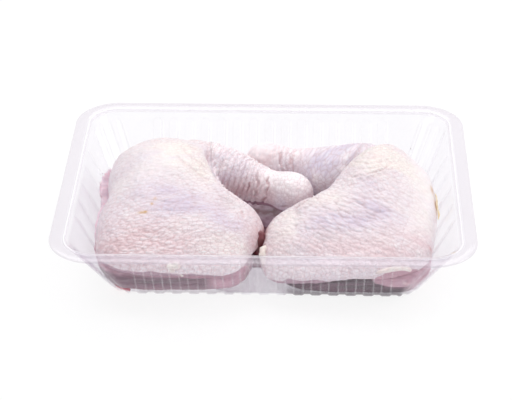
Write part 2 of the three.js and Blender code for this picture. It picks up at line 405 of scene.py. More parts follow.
def kept_inside(points, gap=0.15):
    """The points, moved in where they would touch the tray."""
    points = points.copy()
    floor = WALL + gap
    points[:, 2] = np.maximum(points[:, 2], floor)
    half, corner = outline_at(points[:, 2])
    turned_in = BASE_ROUND - np.sqrt(
        np.clip(BASE_ROUND**2 - (BASE_ROUND - np.minimum(points[:, 2], BASE_ROUND)) ** 2, 0, None)
    )
    inset = WALL + gap + turned_in
    corner = corner - inset
    core = half - inset[:, None] - corner[:, None]
    over = np.abs(points[:, :2]) - core
    reach = past_core(over)
    excess = np.where(points[:, 2] < TRAY_HEIGHT, np.maximum(reach - corner, 0), 0)
    inward = np.maximum(over, 0) / np.maximum(reach, 1e-6)[:, None]
    points[:, :2] -= np.sign(points[:, :2]) * inward * excess[:, None]
    return points


print("base inside:", (2 * (BASE_HALF - WALL)).tolist(), "mm")

# %% [markdown]
# ## Chicken skin
# Plucked skin is a net of small cushions with fine cracks between them, like a fish's scales on the
# thigh. Round the drumstick it gathers into ridges, and under it into folds. Each pattern is cells or
# waves squeezed along one direction. It is worked out in a frame that lies along the limb or along
# the pull of the skin, so that the folds run as they do on a real leg.

# %% Frames along the skin
def unit(ways):
    """Directions with their length made 1."""
    return ways / np.linalg.norm(ways, axis=-1, keepdims=True)


def frame_of(points, long_way, up_way):
    """Points in a frame with its first axis the long way and its second across it."""
    first = unit(np.array(long_way, float))
    third = unit(np.cross(first, np.array(up_way, float)))
    return points @ np.stack([first, np.cross(third, first), third], axis=1)


def limb_frame(points, path):
    """Points in the frame of a limb: along it, and the two ways across it."""
    line = smooth_path(path)
    lengths = np.concatenate([[0], np.cumsum(np.linalg.norm(np.diff(line, axis=0), axis=1))])
    nearest = np.argmin(np.linalg.norm(points[:, None] - line[None], axis=2), axis=1)
    way = unit(np.gradient(line, axis=0))
    side = unit(np.cross([0, 0, 1], way))
    offset = points - line[nearest]
    along = lengths[nearest] + np.sum(offset * way[nearest], axis=1)
    across = np.sum(offset * side[nearest], axis=1)
    over = np.sum(offset * np.cross(way, side)[nearest], axis=1)
    return np.stack([along, across, over], axis=1)


print("frames follow a direction or a limb")

# %% Cushions, folds and gathers
WANDER = 0.8


def cushions(points, size, seed, wander=WANDER):
    """Small cushions with cracks between: the height, from about -1 to 1, and the cracks, 0 to 1."""
    bent = points + wander * np.stack([waves(points, 7, seed + k) for k in (11, 12, 13)], axis=1)
    middle, crack = cells(bent, size, seed)
    cracks = soft_band(crack, 0, 0.16)
    return 0.5 - middle**2 - 0.7 * cracks, cracks


def folds(points, size, seed):
    """Long folds with rounded backs and sharp valleys: the height and the valleys."""
    wave = rough_waves(points, size, seed, 2)
    return np.abs(wave) ** 0.75 - 0.5, soft_band(wave, 0, 0.14)


def gathers(points, pitch, drift, seed):
    """Ridges across the first axis, one for each pitch, that wander: the height and the valleys."""
    phase = points[:, 0] / pitch + 0.9 * waves(points, drift, seed)
    back = np.abs(np.sin(math.pi * phase)) ** 0.8
    return back - 0.6, soft_band(back, 0, 0.45)


def press(clay, pattern, where, height, crack=0.0):
    """Presses a pattern into clay: its height moves the skin, and its cracks join the crease mask."""
    high, cracks = pattern
    clay.swell(height * high * where)
    # The cracks join the crease mask, which the material paints darker as shade.
    clay.mark("crease", crack * cracks * where)


print("three skin patterns")

# %% [markdown]
# ## The left leg's skin
# The thigh is the big smooth lump in front, and the drumstick leaves it at the back and points to the
# right. The thigh's edge lies over the drumstick, so that edge is raised and the drumstick is sunk
# beside it. The drumstick's skin is gathered in folds across it, with deep rings at the ankle.

# %% Left leg, form
left_skin = Clay("leg_left", "left_leg_skin")
LEFT_EDGE = [
    (-10, -19, 36), (-20, -14, 41), (-26, -4, 43), (-30, 6, 45), (-33, 18, 48), (-34, 30, 46), (-35, 48, 42)
]


def overlap(clay, edge, rise, drop, from_start=False):
    """Raises the skin left of an edge and sinks it on the right, so that one side lies over the other."""
    right = clay.side(edge)
    away, along = clay.near(edge)
    along = 1 - along if from_start else along
    close = soft_band(away, 0, 14) * ease(along, 0, 0.1) * ease(1 - along, 0.05, 0.4)
    lifted = rise * soft_band(right, -3.6, 3.2)
    sunk = drop * soft_band(right, 1.4, 1.5)
    clay.swell((lifted - sunk) * close)
    # Painted shade along the edge where one side of the skin lies over the other.
    clay.mark("crease", soft_band(right, 0.8, 0.9) * close)


overlap(left_skin, LEFT_EDGE, 1.5, 3.2)
left_skin.bulge((-91, -4, 32), (7, 11, 14), -2.6)
left_skin.bulge((-85, 28, 38), (10, 12, 12), 1.4)
left_skin.bulge((-8, -33, 34), (9, 10, 10), 1.2)
left_skin.bulge((-19, -31, 40), (4, 12, 8), -1.0)
left_skin.bulge((-3, -48, 30), (7, 11, 12), -2.8)
left_skin.write()
print("left leg:", len(left_skin.points), "points")

# %% [markdown]
# ## The pattern of the left leg's skin
# The folds come next. A mask says how much of each pattern a place gets: cushions all over the thigh
# and coarser ones low in front, gathers and folds on the drumstick only, and nothing sharp on the
# thigh's smooth crown. The frame that each pattern was worked out in stays on the mesh as its grain,
# so that the material's finest bumps follow the same way of the skin.

# %% Left leg, places
LEFT_LIMB = [(-50, 34, 29), (-40, 34, 30), (-22, 30, 29), (-8, 25, 27), (3, 20, 27), (13, 15, 27), (26, 9, 28)]
clay = left_skin
points = clay.points
drum = ease(clay.side(LEFT_EDGE), 0, 3) * ease(points[:, 1], -14, -4) * ease(points[:, 0], -42, -28)
limb = limb_frame(points, LEFT_LIMB)
ankle = ease(limb[:, 0], 46, 54)
crown = soft_place(points, (-62, 8, 52), (26, 24, 12))
thigh = frame_of(points, (1, 0.1, 0), (0, 0.5, 1))
print("the drumstick is", round(float(drum.mean()), 2), "of the left leg")

# %% Left thigh
coarse = soft_place(points, (-64, -52, 34), (32, 20, 13))
plain_thigh = (1 - drum) * (1 - 0.8 * crown)
press(clay, cushions(thigh, (4.4, 2.0, 2.2), 3), plain_thigh, 0.14 + 0.2 * coarse, 0.3 + 0.4 * coarse)
clay.swell(0.8 * rough_waves(points, 17, 71, 2) * (1 - drum))
bumpy = soft_place(points, (-42, -26, 43), (30, 13, 14)) * (1 - drum)
press(clay, cushions(thigh, (6.5, 2.6, 2.8), 22), bumpy, 0.34)
clay.mark("lines", 0.5 * bumpy)
print("left thigh: cushions")

# %% Left drumstick
gathered = drum * (1 - ease(limb[:, 0], 49, 54))
slant = np.stack([limb[:, 0] - 0.25 * limb[:, 2], limb[:, 1], limb[:, 2]], axis=1)
press(clay, gathers(slant, 3.3, (18, 13, 13), 21), gathered, 1.15, 0.2)
press(clay, cushions(slant, (2.4, 4.0, 4.0), 31, wander=0.4), gathered, 0.35, 0.1)
below = gathered * soft_band(points[:, 2], 26, 7)
press(clay, folds(limb, (3.4, 8, 8), 27), below, 0.7, 0.4)
print("left drumstick: gathers, cushions and folds")

# %% Left leg, smooth skin and painted fill light
clay.mark("smooth", 0.9 * crown * (1 - drum) + 0.35 * ankle * drum)
clay.mark("smooth", 0.8 * soft_place(points, (-84, 4, 42), (14, 26, 14)))
# Painted fill light: the drumstick and the low front of the thigh are painted paler to lift their shade.
clay.mark("painted_fill_light", drum + 0.9 * soft_band(points[:, 2], 24, 7) * ease(-points[:, 1], 50, 60))
clay.grain = np.where(drum[:, None] > 0.5, limb[:, [1, 0, 2]], thigh)
clay.write()
print("left leg: masks", ", ".join(clay.masks))

# %% [markdown]
# ## Creases
# A few deep creases can be named one by one: the rings round the ankle, the folds under the knuckle
# and the tucks on the cream ridge. Each is a path with a width and a depth. Last, everything that
# the folds pushed past the tray's wall is moved back in.

# %% Left leg, creases
LEFT_CREASES = [
    (
        [(2, 18, 38), (0, 14, 35), (1.6, 11.4, 33), (-0.6, 10, 30), (0.4, 10, 27), (-2, 11, 24), (-2, 14, 19)],
        0.65, 1.3,
    ),
    ([(-5, 21, 38), (-6, 16.4, 35.6), (-4.6, 14, 33), (-6.4, 13, 30), (-6, 12.4, 27), (-9, 13, 24)], 0.65, 1.0),
    ([(-10, 22, 37), (-11, 17, 34), (-10, 14.5, 31), (-13, 14, 26)], 0.6, 0.8),
    ([(18, 2, 24), (12, 2.6, 21), (5, 5, 19), (-2, 9, 18)], 0.8, 1.4),
    ([(13, 3, 26), (8, 4, 23.4), (3, 6.4, 22)], 0.7, 0.9),
    ([(-53, 15, 54), (-46, 4, 52), (-41, 1, 50), (-36, -3, 48), (-29, -6, 45)], 0.7, 0.55),
    ([(-50, 22, 53), (-43, 12, 52), (-37, 7, 50), (-33, 2, 47)], 0.7, 0.5),
    ([(-46, 24, 53), (-40, 20, 51), (-36, 14, 49)], 0.7, 0.45),
    ([(-13, -26, 39), (-12, -30, 38), (-12, -34, 36)], 1.0, 0.8),
]


def cut_creases(clay, creases):
    """Cuts creases, each with its path, width and depth, and moves everything back inside the tray."""
    for crease in creases:
        clay.stroke(*crease)
    clay.write()
    clay.points = kept_inside(clay.points)
    clay.write()


cut_creases(left_skin, LEFT_CREASES)
print("left leg:", len(LEFT_CREASES), "creases")

# %% [markdown]
# ## The right leg's skin
# The same bird's other leg lies the other way round: its thigh fills the right half of the tray, and
# its drumstick runs along the back wall and points to the left. Its skin is made in the same steps,
# but it is stretched: long slanting lines cross the thigh, the flank is smooth, and only the ankle is
# gathered.

# %% Right leg, form
right_skin = Clay("leg_right", "right_leg_skin")
RIGHT_EDGE = [(14, -21, 38), (22, -16, 40), (31, -7, 41), (38, 4, 42), (44, 20, 42), (51, 34, 42), (58, 46, 40)]
overlap(right_skin, RIGHT_EDGE[::-1], 1.4, 2.8, from_start=True)
right_skin.bulge((84, 20, 46), (14, 20, 14), -3.4)
right_skin.bulge((33, 31, 25), (13, 9, 11), 4.0)
right_skin.write()
print("right leg:", len(right_skin.points), "points")

# %% Right leg, places
RIGHT_LIMB = [(64, 38, 26), (58, 40, 26), (38, 44, 24), (22, 48, 24), (12, 49, 25), (1, 50, 26), (-14, 50, 28)]
clay = right_skin
points = clay.points
drum = ease(-clay.side(RIGHT_EDGE), 0, 3) * ease(points[:, 1], 14, 24) * ease(-points[:, 0], -66, -58)
limb = limb_frame(points, RIGHT_LIMB)
slope = frame_of(points, (1, -0.55, -0.25), (0, 0.5, 1))
edge_way = frame_of(points, (0.55, 0.8, 0.1), (0, 0, 1))
cream = soft_place(points, (56, 8, 50), (16, 20, 12))
violet = soft_place(points, (46, -30, 40), (40, 20, 18))
flank = soft_place(points, (92, -4, 38), (16, 44, 22))
print("the drumstick is", round(float(drum.mean()), 2), "of the right leg")

# %% Right thigh
press(clay, cushions(slope, (4.4, 2.0, 2.2), 5), (1 - drum) * (1 - flank), 0.22, 0.25)
clay.swell(0.8 * rough_waves(points, 17, 73, 2) * (1 - drum))
press(clay, cushions(slope, (12, 3.2, 3.4), 23), violet, 0.5)
clay.mark("lines", violet * ease(waves(slope, (16, 9, 9), 45), -0.7, 0.1) * (1 - drum))
across = frame_of(points, (1, 0.4, 0), (0, 0.5, 1))
press(clay, gathers(across[:, [1, 0, 2]], 3.0, (14, 20, 14), 27), cream, 0.4, 0.3)
print("right thigh: cushions, lines and tucks")

# %% Right drumstick
gathered = drum * soft_band(limb[:, 0], 53, 8)
press(clay, gathers(limb, 2.8, (14, 8, 8), 25), gathered, 0.8, 0.5)
press(clay, cushions(edge_way, (8, 2.4, 2.4), 37), drum * (1 - gathered), 0.14)
clay.mark("lines", drum * (1 - gathered) * (1 - ease(limb[:, 0], 50, 56)))
print("right drumstick: gathers at the ankle")

# %% Right leg, smooth skin and painted fill light
# Painted fill light: the drumstick, the right flank and the low front are painted paler, as if lit more.
clay.mark("painted_fill_light", 0.95 * drum + 0.5 * flank * (1 - drum))
clay.mark("painted_fill_light", 0.9 * soft_band(points[:, 2], 24, 7) * ease(-points[:, 1], 50, 60))
clay.mark("smooth", 0.6 * cream * (1 - drum) + 0.8 * ease(limb[:, 0], 52, 62) * drum + 0.9 * flank)
clay.grain = np.where(drum[:, None] > 0.5, edge_way, slope)
clay.write()
print("right leg: masks", ", ".join(clay.masks))

# %% Right leg, creases
RIGHT_CREASES = [
    ([(70, 8, 51), (65, 2, 50), (58, -2, 49), (50, -7, 47)], 0.6, 0.6),
    ([(57, 4, 50), (52, 2, 49), (46, 3, 46)], 0.7, 0.5),
    ([(53, -2, 49), (48, -3, 47), (43, -1, 44)], 0.7, 0.5),
    ([(14, 46, 37), (13, 43, 34), (13, 40, 29)], 0.9, 0.9),
    ([(8, 46, 37), (7, 43, 34), (7, 40, 30)], 0.9, 1.1),
    ([(4, 47, 37), (3, 43, 34), (3, 41, 30)], 0.9, 0.9),
]
cut_creases(right_skin, RIGHT_CREASES)
print("right leg:", len(RIGHT_CREASES), "creases")

# %% [markdown]
# ## Where the skin changes colour
# Fat under the skin makes it cream, along the ridge over the knee and on top. Dark muscle shows
# through as violet where the skin is thin, and thin or folded skin is pink. The patches are soft
# round places, each with its middle, reach and strength, and waves break up their edges later.

# %% Coloured patches
LEFT_PATCHES = [
    # Painted shade on the left leg's side that faces the gap between the legs.
    ("crease", (-4, -43, 31), (3.4, 15, 10), 0.7),
    ("violet", (-60, -20, 44), (14, 12, 12), 0.65),
    ("violet", (-40, -26, 43), (16, 8, 10), 0.8),
    ("violet", (-22, -40, 38), (14, 8, 8), 0.8),
    ("violet", (-26, 18, 42), (12, 14, 12), 0.45),
    ("violet", (-12, 20, 34), (8, 10, 10), 0.3),
    ("violet", (10, 6, 24), (7, 6, 7), 0.7),
    ("cream", (-48, 14, 53), (16, 15, 10), 0.9),
    ("cream", (-34, 0, 48), (8, 10, 8), 0.7),
    ("cream", (-20, -52, 32), (20, 9, 10), 0.6),
    ("cream", (-66, 40, 46), (20, 14, 12), 0.6),
    ("pink", (-74, -50, 34), (24, 12, 12), 0.7),
    ("pink", (-60, -56, 34), (34, 10, 7), 0.6),
    ("pink", (-6, -34, 33), (8, 12, 10), 0.5),
    ("pink", (-8, 16, 27), (22, 10, 8), 1.0),
    ("pink", (16, 6, 27), (12, 8, 7), 0.4),
]
RIGHT_PATCHES = [
    ("violet", (34, 38, 36), (18, 14, 16), 1.0),
    ("violet", (26, 36, 26), (18, 12, 9), 0.35),
    ("violet", (48, 42, 42), (12, 10, 8), 0.7),
    ("violet", (60, -30, 42), (14, 9, 10), 0.9),
    ("violet", (32, -36, 38), (16, 8, 9), 0.9),
    ("violet", (62, -8, 49), (14, 10, 8), 0.4),
    ("cream", (58, 20, 51), (16, 20, 12), 0.9),
    ("cream", (76, 14, 50), (14, 18, 12), 0.7),
    ("cream", (90, -20, 38), (12, 30, 16), 0.4),
    ("cream", (10, -32, 34), (10, 12, 12), 0.7),
    ("cream", (30, -16, 40), (14, 6, 8), 0.6),
    ("pink", (4, 44, 33), (18, 10, 12), 0.6),
    ("pink", (40, -56, 34), (44, 10, 7), 0.9),
    ("pink", (4, -46, 26), (10, 10, 12), 0.5),
    ("pink", (78, -48, 34), (14, 10, 12), 0.5),
]
print("patches:", len(LEFT_PATCHES), "on the left leg,", len(RIGHT_PATCHES), "on the right")

# %% [markdown]
# ## Touching skins and stains
# Where the two legs touch, little light gets in and the wet skin looks dark red. The distance to the
# other leg says where that is, and a tree of points finds it fast. A few rust-brown and red stains
# are small patches of their own.

# %% Touching skins
def nearness(clay, other, reach):
    """How near each point is to another piece of clay: 1 where they touch."""
    tree = KDTree(len(other.points))
    for k, point in enumerate(other.points):
        tree.insert(point, k)
    tree.balance()
    away = np.array([tree.find(point)[2] for point in clay.points])
    return soft_band(away, 0, reach)


TOUCH_REACH = 2.8
left_skin.mark("contact", nearness(left_skin, right_skin, TOUCH_REACH))
right_skin.mark("contact", nearness(right_skin, left_skin, TOUCH_REACH))
print("touching:", round(float(left_skin.masks["contact"].max()), 2))

# %% Stains
STAINS = [
    (left_skin, "rust", (-67.0, -33.0, 41.6), (2.0, 1.0, 1.2), 0.8),
    (left_skin, "rust", (-64.7, -32.6, 41.9), (1.0, 0.9, 1.2), 1.0),
    (left_skin, "rust", (-61.7, -26.9, 43.5), (0.8, 0.9, 1.2), 0.9),
    (left_skin, "rust", (-60.2, -23.0, 44.2), (0.9, 1.2, 1.2), 0.6),
    (left_skin, "rust", (-93.0, -46.0, 25.0), (1.6, 1.6, 1.6), 0.8),
    (left_skin, "blood", (-93.0, -41.0, 27.0), (1.2, 1.0, 1.6), 1.0),
    (right_skin, "rust", (93.0, 2.0, 38.0), (1.2, 4.0, 3.0), 0.8),
    (right_skin, "rust", (94.6, -8.0, 34.0), (1.2, 4.0, 2.0), 0.9),
    (right_skin, "rust", (95.0, -14.0, 31.0), (1.2, 2.0, 1.6), 0.8),
    (right_skin, "blood", (90.0, -49.0, 30.0), (1.4, 1.4, 2.6), 0.45),
]
print("stains:", len(STAINS))

# %% [markdown]
# ## Where the skin stops
# The skin was cut round the leg, so it stops in a ragged line above the tray's base, higher at the
# left end. On the right leg an oval of muscle shows in front as well. The mesh goes on under the
# line, and a mask gives it the look of meat there, which needs no hole in the skin.

# %% Bare places
MUSCLE_MIDDLE = np.array([72.5, -61.0, 18.0])
MUSCLE_REACH = np.array([13.5, 12.0, 8.2])
SKIN_ENDS = [(left_skin, 21.5, 11, 1.8, 91), (right_skin, 16.5, 7, 2.0, 92)]


def muscle_distance(points):
    """How far points are from the middle of the bare muscle: 1 at its edge."""
    return np.linalg.norm((points - MUSCLE_MIDDLE) / MUSCLE_REACH, axis=1)


for clay, height, size, rise, seed in SKIN_ENDS:
    edge = height + rise * rough_waves(clay.points * [1, 1, 0], size, seed, 2)
    edge += 3.0 * ease(-clay.points[:, 0], 44, 60)
    clay.mark("bare", 1 - ease(clay.points[:, 2], edge - 0.4, edge + 0.4))
    clay.mark("muscle", np.zeros(len(clay.points)))
oval = 1 - ease(muscle_distance(right_skin.points) + 0.06 * waves(right_skin.points, 6, 93), 0.94, 1.0)
right_skin.mark("bare", oval)
right_skin.mark("muscle", oval)
print("bare:", round(float(right_skin.masks["bare"].mean()), 2), "of the right skin")

# %% Patches on the skin
for clay, patches in ((left_skin, LEFT_PATCHES), (right_skin, RIGHT_PATCHES)):
    for name in ("violet", "cream", "pink", "crease", "smooth", "rust", "blood"):
        clay.mark(name, np.zeros(len(clay.points)))
    for patch in patches:
        clay.patch(*patch)
    for k, name in enumerate(("violet", "cream", "pink")):
        ragged = 1 + 0.9 * rough_waves(clay.grain, (13, 6, 6), 81 + 7 * k)
        clay.masks[name] = np.clip(clay.masks[name] * ragged, 0, 1)
for clay, *stain in STAINS:
    clay.patch(*stain)
print("masks:", ", ".join(left_skin.masks))

# %% [markdown]
# ## Bare meat
# Under the edge of the skin the meat shows: muscle with its grain, sagging against the tray and
# pressed flat on its base. No light reaches its lowest part, so a mask paints shade there: a nearly
# black red colour, darker than the shadow alone makes it.

# %% Meat
def meat(node, name, seed, dark_below, darkness, fading, sag):
    """The bare meat of one leg, with the grain of its muscle. Low down it sags and gets painted shade."""
    clay = Clay(node, name, net=0.9, smoothing=20)
    low = 1 - ease(clay.points[:, 2], 3, 12)
    clay.points[:, :2] += sag * low[:, None] * clay.outward[:, :2]
    grain = frame_of(clay.points, (1, 0.25, 0.1), (0, 0, 1))
    clay.swell(0.5 * rough_waves(grain, (22, 5, 5), seed))
    clay.swell(0.15 * rough_waves(grain, (12, 1.6, 1.6), seed + 5))
    clay.points = kept_inside(clay.points)
    clay.write()
    edge = dark_below + 1.2 * rough_waves(clay.points, 12, seed + 9, 2)
    faded = 1 - fading * (1 - ease(clay.points[:, 2], 0, 11))
    # Painted shade: the dark mask darkens the meat below a wavy line.
    clay.mark("dark", darkness * faded * (1 - ease(clay.points[:, 2], edge - 1, edge + 1)))
    clay.mark("pale", ease(clay.points[:, 2], 22, 26))
    clay.grain = grain
    return clay


left_meat = meat("leg_left_flesh", "left_leg_meat", 51, 17.5, 0.85, 0.8, 2.0)
left_meat.masks["dark"] *= 1 - ease(left_meat.points[:, 0], -34, -24)
right_meat = meat("leg_right_flesh", "right_leg_meat", 61, 19, 1.0, 0.0, 7.0)
right_meat.masks["dark"] *= ease(muscle_distance(right_meat.points), 0.96, 1.04)
right_meat.masks["dark"] *= 1 - ease(right_meat.points[:, 0], 74, 84)
print("meat:", len(left_meat.points) + len(right_meat.points), "points")

# %% [markdown]
# ## Shapes made of rings
# The tray and the small scraps are rows of closed rings of points, joined into a skin and closed with
# one point at both ends. That says exactly where every bend lies, and one function makes them all.

# %% Closed rings
def closed_rings(rings, start, end):
    """Points and faces of a closed skin over rings of points, with a point at both ends."""
    around, last = len(rings[0]), len(rings) - 1
    points = np.vstack([*rings, [start], [end]])
    nexts = [(i, (i + 1) % around) for i in range(around)]
    faces = [
        (k * around + i, k * around + j, (k + 1) * around + j, (k + 1) * around + i)
        for k in range(last) for i, j in nexts
    ]
    faces += [(len(points) - 2, j, i) for i, j in nexts]
    faces += [(len(points) - 1, last * around + i, last * around + j) for i, j in nexts]
    return points, faces


def smooth_mesh(name, points, faces):
    """A mesh with soft shading, from points in millimetres."""
    mesh = bpy.data.meshes.new(name)
    mesh.from_pydata((points * MM).tolist(), [], faces)
    mesh.polygons.foreach_set("use_smooth", [True] * len(mesh.polygons))
    mesh.update()
    return mesh


print("rings of points can be joined")

# %% [markdown]
# ## The clear tray
# The tray is one sheet of plastic drawn down over a mould, so its wall is the same thickness all
# round: an outer and an inner surface, 0.8 mm apart. Each flute is a shallow channel with round ends,
# worked out from the distance to its middle line. Points are only needed where a flute bends, so the
# stations round the tray come first, and every ring has one point at each of them.

# %% Tray outline
FLUTE_TOP = TRAY_HEIGHT - 3.5
FLANK = 1.1
SIDE_WALL = {"flutes": 15, "pitch": 9.5, "width": 6.4, "depth": 1.2}
END_WALL = {"flutes": 5, "pitch": 18, "width": 2.6, "depth": 0.6}
ACROSS_FLUTE = 11
CORNER_RIDGES = 4
ACROSS_RIDGE = 10
RIDGE_DEPTH = 1.2
RIDGE_SHARE = 0.6


def around_tray():
    """Stations round the tray. Each has its side, whether it is in a corner, its place along the side,
    its distance from the middle of a flute, half the flute's width and the flute's depth."""
    stations = []
    top_run = MOUTH_HALF - MOUTH_CORNER
    for side in range(4):
        long_side = side % 2 == 0
        wall = SIDE_WALL if long_side else END_WALL
        half = wall["width"] / 2
        middles = (np.arange(wall["flutes"]) - (wall["flutes"] - 1) / 2) * wall["pitch"]
        marks = np.concatenate([m + np.linspace(-half, half, ACROSS_FLUTE) for m in middles])
        gap = np.linspace(middles[-1] + half, top_run[0 if long_side else 1], 6)[1:-1]
        between = (middles[:-1] + middles[1:]) / 2
        for place in np.sort(np.concatenate([marks, between, gap, -gap])):
            stations.append((side, 0, place, np.abs(middles - place).min(), half, wall["depth"]))
        step = math.pi / 2 / CORNER_RIDGES
        for angle in np.linspace(0, math.pi / 2, CORNER_RIDGES * ACROSS_RIDGE, endpoint=False):
            off = abs((angle / step) % 1 - 0.5) * 2 / RIDGE_SHARE
            stations.append((side, 1, angle, off, 1, RIDGE_DEPTH))
    return np.array(stations)


STATIONS = around_tray()
print(len(STATIONS), "stations round the tray")

# %% Tray rings
STRAIGHT = (70, 33)


def depth_at(z):
    """How deep the flutes are at height z, for each station: 0 to 1."""
    drop = FLUTE_TOP - z
    corner = STATIONS[:, 1] > 0
    off, half = STATIONS[:, 3], STATIONS[:, 4]
    past_end = np.maximum(half - drop, 0)
    inside = half - np.hypot(off, past_end)
    channel = ease(inside, 0, FLANK)
    ridge = np.cos(np.clip(off, 0, 1) * math.pi / 2) ** 2 * ease(drop, 0, 3)
    return np.where(corner, ridge, channel)


def ring(half, corner, out, z):
    """One ring of points on a rounded rectangle, pushed out by `out`."""
    side, kind, place = STATIONS[:, 0], STATIONS[:, 1], STATIONS[:, 2]
    long_side = side % 2 == 0
    run = np.where(long_side, half[0], half[1])
    reach = np.where(long_side, half[1], half[0])
    fixed = np.where(long_side, *STRAIGHT)
    top_end = np.where(long_side, *(MOUTH_HALF - MOUTH_CORNER))
    stretch = fixed + (np.abs(place) - fixed) / (top_end - fixed) * (run - corner - fixed)
    along = np.where(np.abs(place) <= fixed, place, np.sign(place) * stretch)
    angle = place - math.pi / 2
    x = np.where(kind > 0, run - corner + (corner + out) * np.cos(angle), along)
    y = np.where(kind > 0, corner - reach + (corner + out) * np.sin(angle), -reach - out)
    turn = side * math.pi / 2
    turned = [x * np.cos(turn) - y * np.sin(turn), x * np.sin(turn) + y * np.cos(turn)]
    return np.stack([*turned, np.full(len(x), z)], axis=1)


def wall_ring(z, inwards, flutes=1.0):
    """A ring on the wall, this far inside its outer surface."""
    half, corner = outline_at(z)
    return ring(half, corner, depth_at(z) * STATIONS[:, 5] * flutes - inwards, z)


def flange_ring(z, inwards):
    """A ring on the flange, this far inside its outer edge."""
    rim = MOUTH_HALF + FLANGE
    return ring(rim, FLANGE_CORNER, np.full(len(STATIONS), -inwards), z)


print("flutes at half height:", round(float(depth_at(22).mean()), 2), "of the outline")

# %% [markdown]
# ## The rings of the tray, from inside to outside
# The rings start in the middle of the base, go up the inner surface of the wall, over the flange with
# its bead and its turned-down lip, and come down the outside again. The bead and the lip are short
# lists of drops below the top and distances from the outer edge, all in millimetres.

# %% Tray mesh
LIP = 1.2
BEAD = [(0.6, 8.3), (0.2, 8.1), (0, 7.75), (0.05, 7.35), (0.35, 7.05), (0.4, 6.7), (0.15, 6.4), (0, 6)]
BASE_SHARES = (0.3, 0.6, 0.85, 0.97)


def rounded_edge(turns, wall):
    """Height and inset of the rounding between base and wall, on the surface `wall` further in."""
    radius = BASE_ROUND - wall
    return [(wall + radius * (1 - math.cos(t)), wall + radius * (1 - math.sin(t))) for t in turns]


def tray_rings():
    """All rings, from the middle of the base inside to the middle of the base outside."""
    wall_heights = np.concatenate([np.linspace(BASE_ROUND, 34, 12), np.linspace(35, FLUTE_TOP + 0.5, 14)])
    turns = np.linspace(0, math.pi / 2, 6)
    edge_in = rounded_edge(turns, WALL)
    floor_edge = wall_ring(*edge_in[0])
    rings = [floor_edge * [s, s, 1] for s in BASE_SHARES]
    rings += [wall_ring(z, inwards) for z, inwards in edge_in]
    rings += [wall_ring(z, WALL) for z in wall_heights[1:]]
    rings += [wall_ring(z, WALL, 0) for z in (TRAY_HEIGHT - 2.1, TRAY_HEIGHT - 1.2)]
    over = BEAD + [(0, 4), (0, 1.2), (0.05, 0.6), (0.25, 0.2), (0.5, 0.03), (LIP - 0.1, 0)]
    back = [(LIP, 0.15), (LIP, WALL - 0.15), (LIP - 0.1, WALL), (WALL + 0.2, WALL), (WALL + 0.02, WALL + 0.25)]
    under = [(WALL, 4)] + [(WALL + drop, inwards) for drop, inwards in BEAD[:2:-1]] + [(WALL + 0.3, 8)]
    rings += [flange_ring(TRAY_HEIGHT - drop, inwards) for drop, inwards in over + back + under]
    rings += [wall_ring(TRAY_HEIGHT - 1.8, 0, 0)]
    rings += [wall_ring(z, 0) for z in wall_heights[:0:-1]]
    rings += [wall_ring(z, inwards) for z, inwards in rounded_edge(turns[::-1], 0)]
    rings += [rings[-1] * [s, s, 1] for s in BASE_SHARES[::-1]]
    return rings


TRAY_RINGS = tray_rings()
tray_skin = closed_rings(TRAY_RINGS, [0, 0, WALL], [0, 0, 0])
tray = bpy.data.objects.new("clear_tray", smooth_mesh("clear_tray", *tray_skin))
tray.data.flip_normals()
tray.data.update()
scene.collection.objects.link(tray)
print("tray:", len(tray.data.polygons), "faces")

# %% [markdown]
# ## Where the plastic shows
# Clear plastic is seen mostly where it bends. Masks mark such places for its material: the bead inside
# the flange, which gets a painted white highlight, the flange itself, and the bent flanks of the
# flutes, which get more haze and a painted highlight. The foot of the wall gets painted shade, the dark
# of the shaded meat behind it, and the left end gets painted shade and a painted pink reflection.

# %% Tray masks
def rim_masks(mesh):
    """Marks the bead inside the flange and the flange itself."""
    points = np.empty(len(mesh.vertices) * 3, np.float32)
    mesh.vertices.foreach_get("co", points)
    points = points.reshape(-1, 3) / MM
    inwards = FLANGE_CORNER - past_core(np.abs(points[:, :2]) - (MOUTH_HALF + FLANGE - FLANGE_CORNER))
    high = ease(points[:, 2], TRAY_HEIGHT - 2.2, TRAY_HEIGHT - 1.2)
    # The rim mask carries a painted highlight along the bead.
    keep_mask(mesh, "rim", soft_band(inwards, BEAD[2][1], 0.6) * high)
    keep_mask(mesh, "flange", (1 - ease(inwards, 6.4, 7)) * high)


def wall_masks(mesh):
    """Marks the bent flanks of the flutes, the foot beside the shaded meat, and the left end, all for painted
    light and shade.
    """
    masks = {"bend": [], "foot": [], "left_wall_shade": []}
    for one in TRAY_RINGS:
        x, y, z = one.T
        depth = depth_at(z[0])
        fading = (1 - 0.6 * ease(y, 40, 60)) * ease(FLUTE_TOP - z, 0, 7)
        # More haze and a painted highlight on the bent flanks, less of it on the back wall.
        masks["bend"].append(4 * depth * (1 - depth) * (z[0] > 2.5) * fading)
        beside_meat = ease(x, 8, 18) * (1 - ease(x, 72, 82))
        beside_meat += 0.3 * ease(x, -74, -66) * (1 - ease(x, -20, -8))
        # Painted shade on the foot of the wall, beside the shaded meat.
        masks["foot"].append((1 - ease(z, 2.5, 5)) * ease(-y, 44, 47) * beside_meat)
        # Painted shade and a painted pink reflection of the meat on the left end wall.
        masks["left_wall_shade"].append(ease(-x, 84, 94) * (1 - ease(y, 0, 40)) * (6 < z[0] < TRAY_HEIGHT - 2.5))
    for name, values in masks.items():
        keep_mask(mesh, name, np.concatenate([*values, [0, 0]]))


rim_masks(tray.data)
wall_masks(tray.data)
print("tray masks:", ", ".join(a.name for a in tray.data.attributes if a.data_type == "FLOAT"))

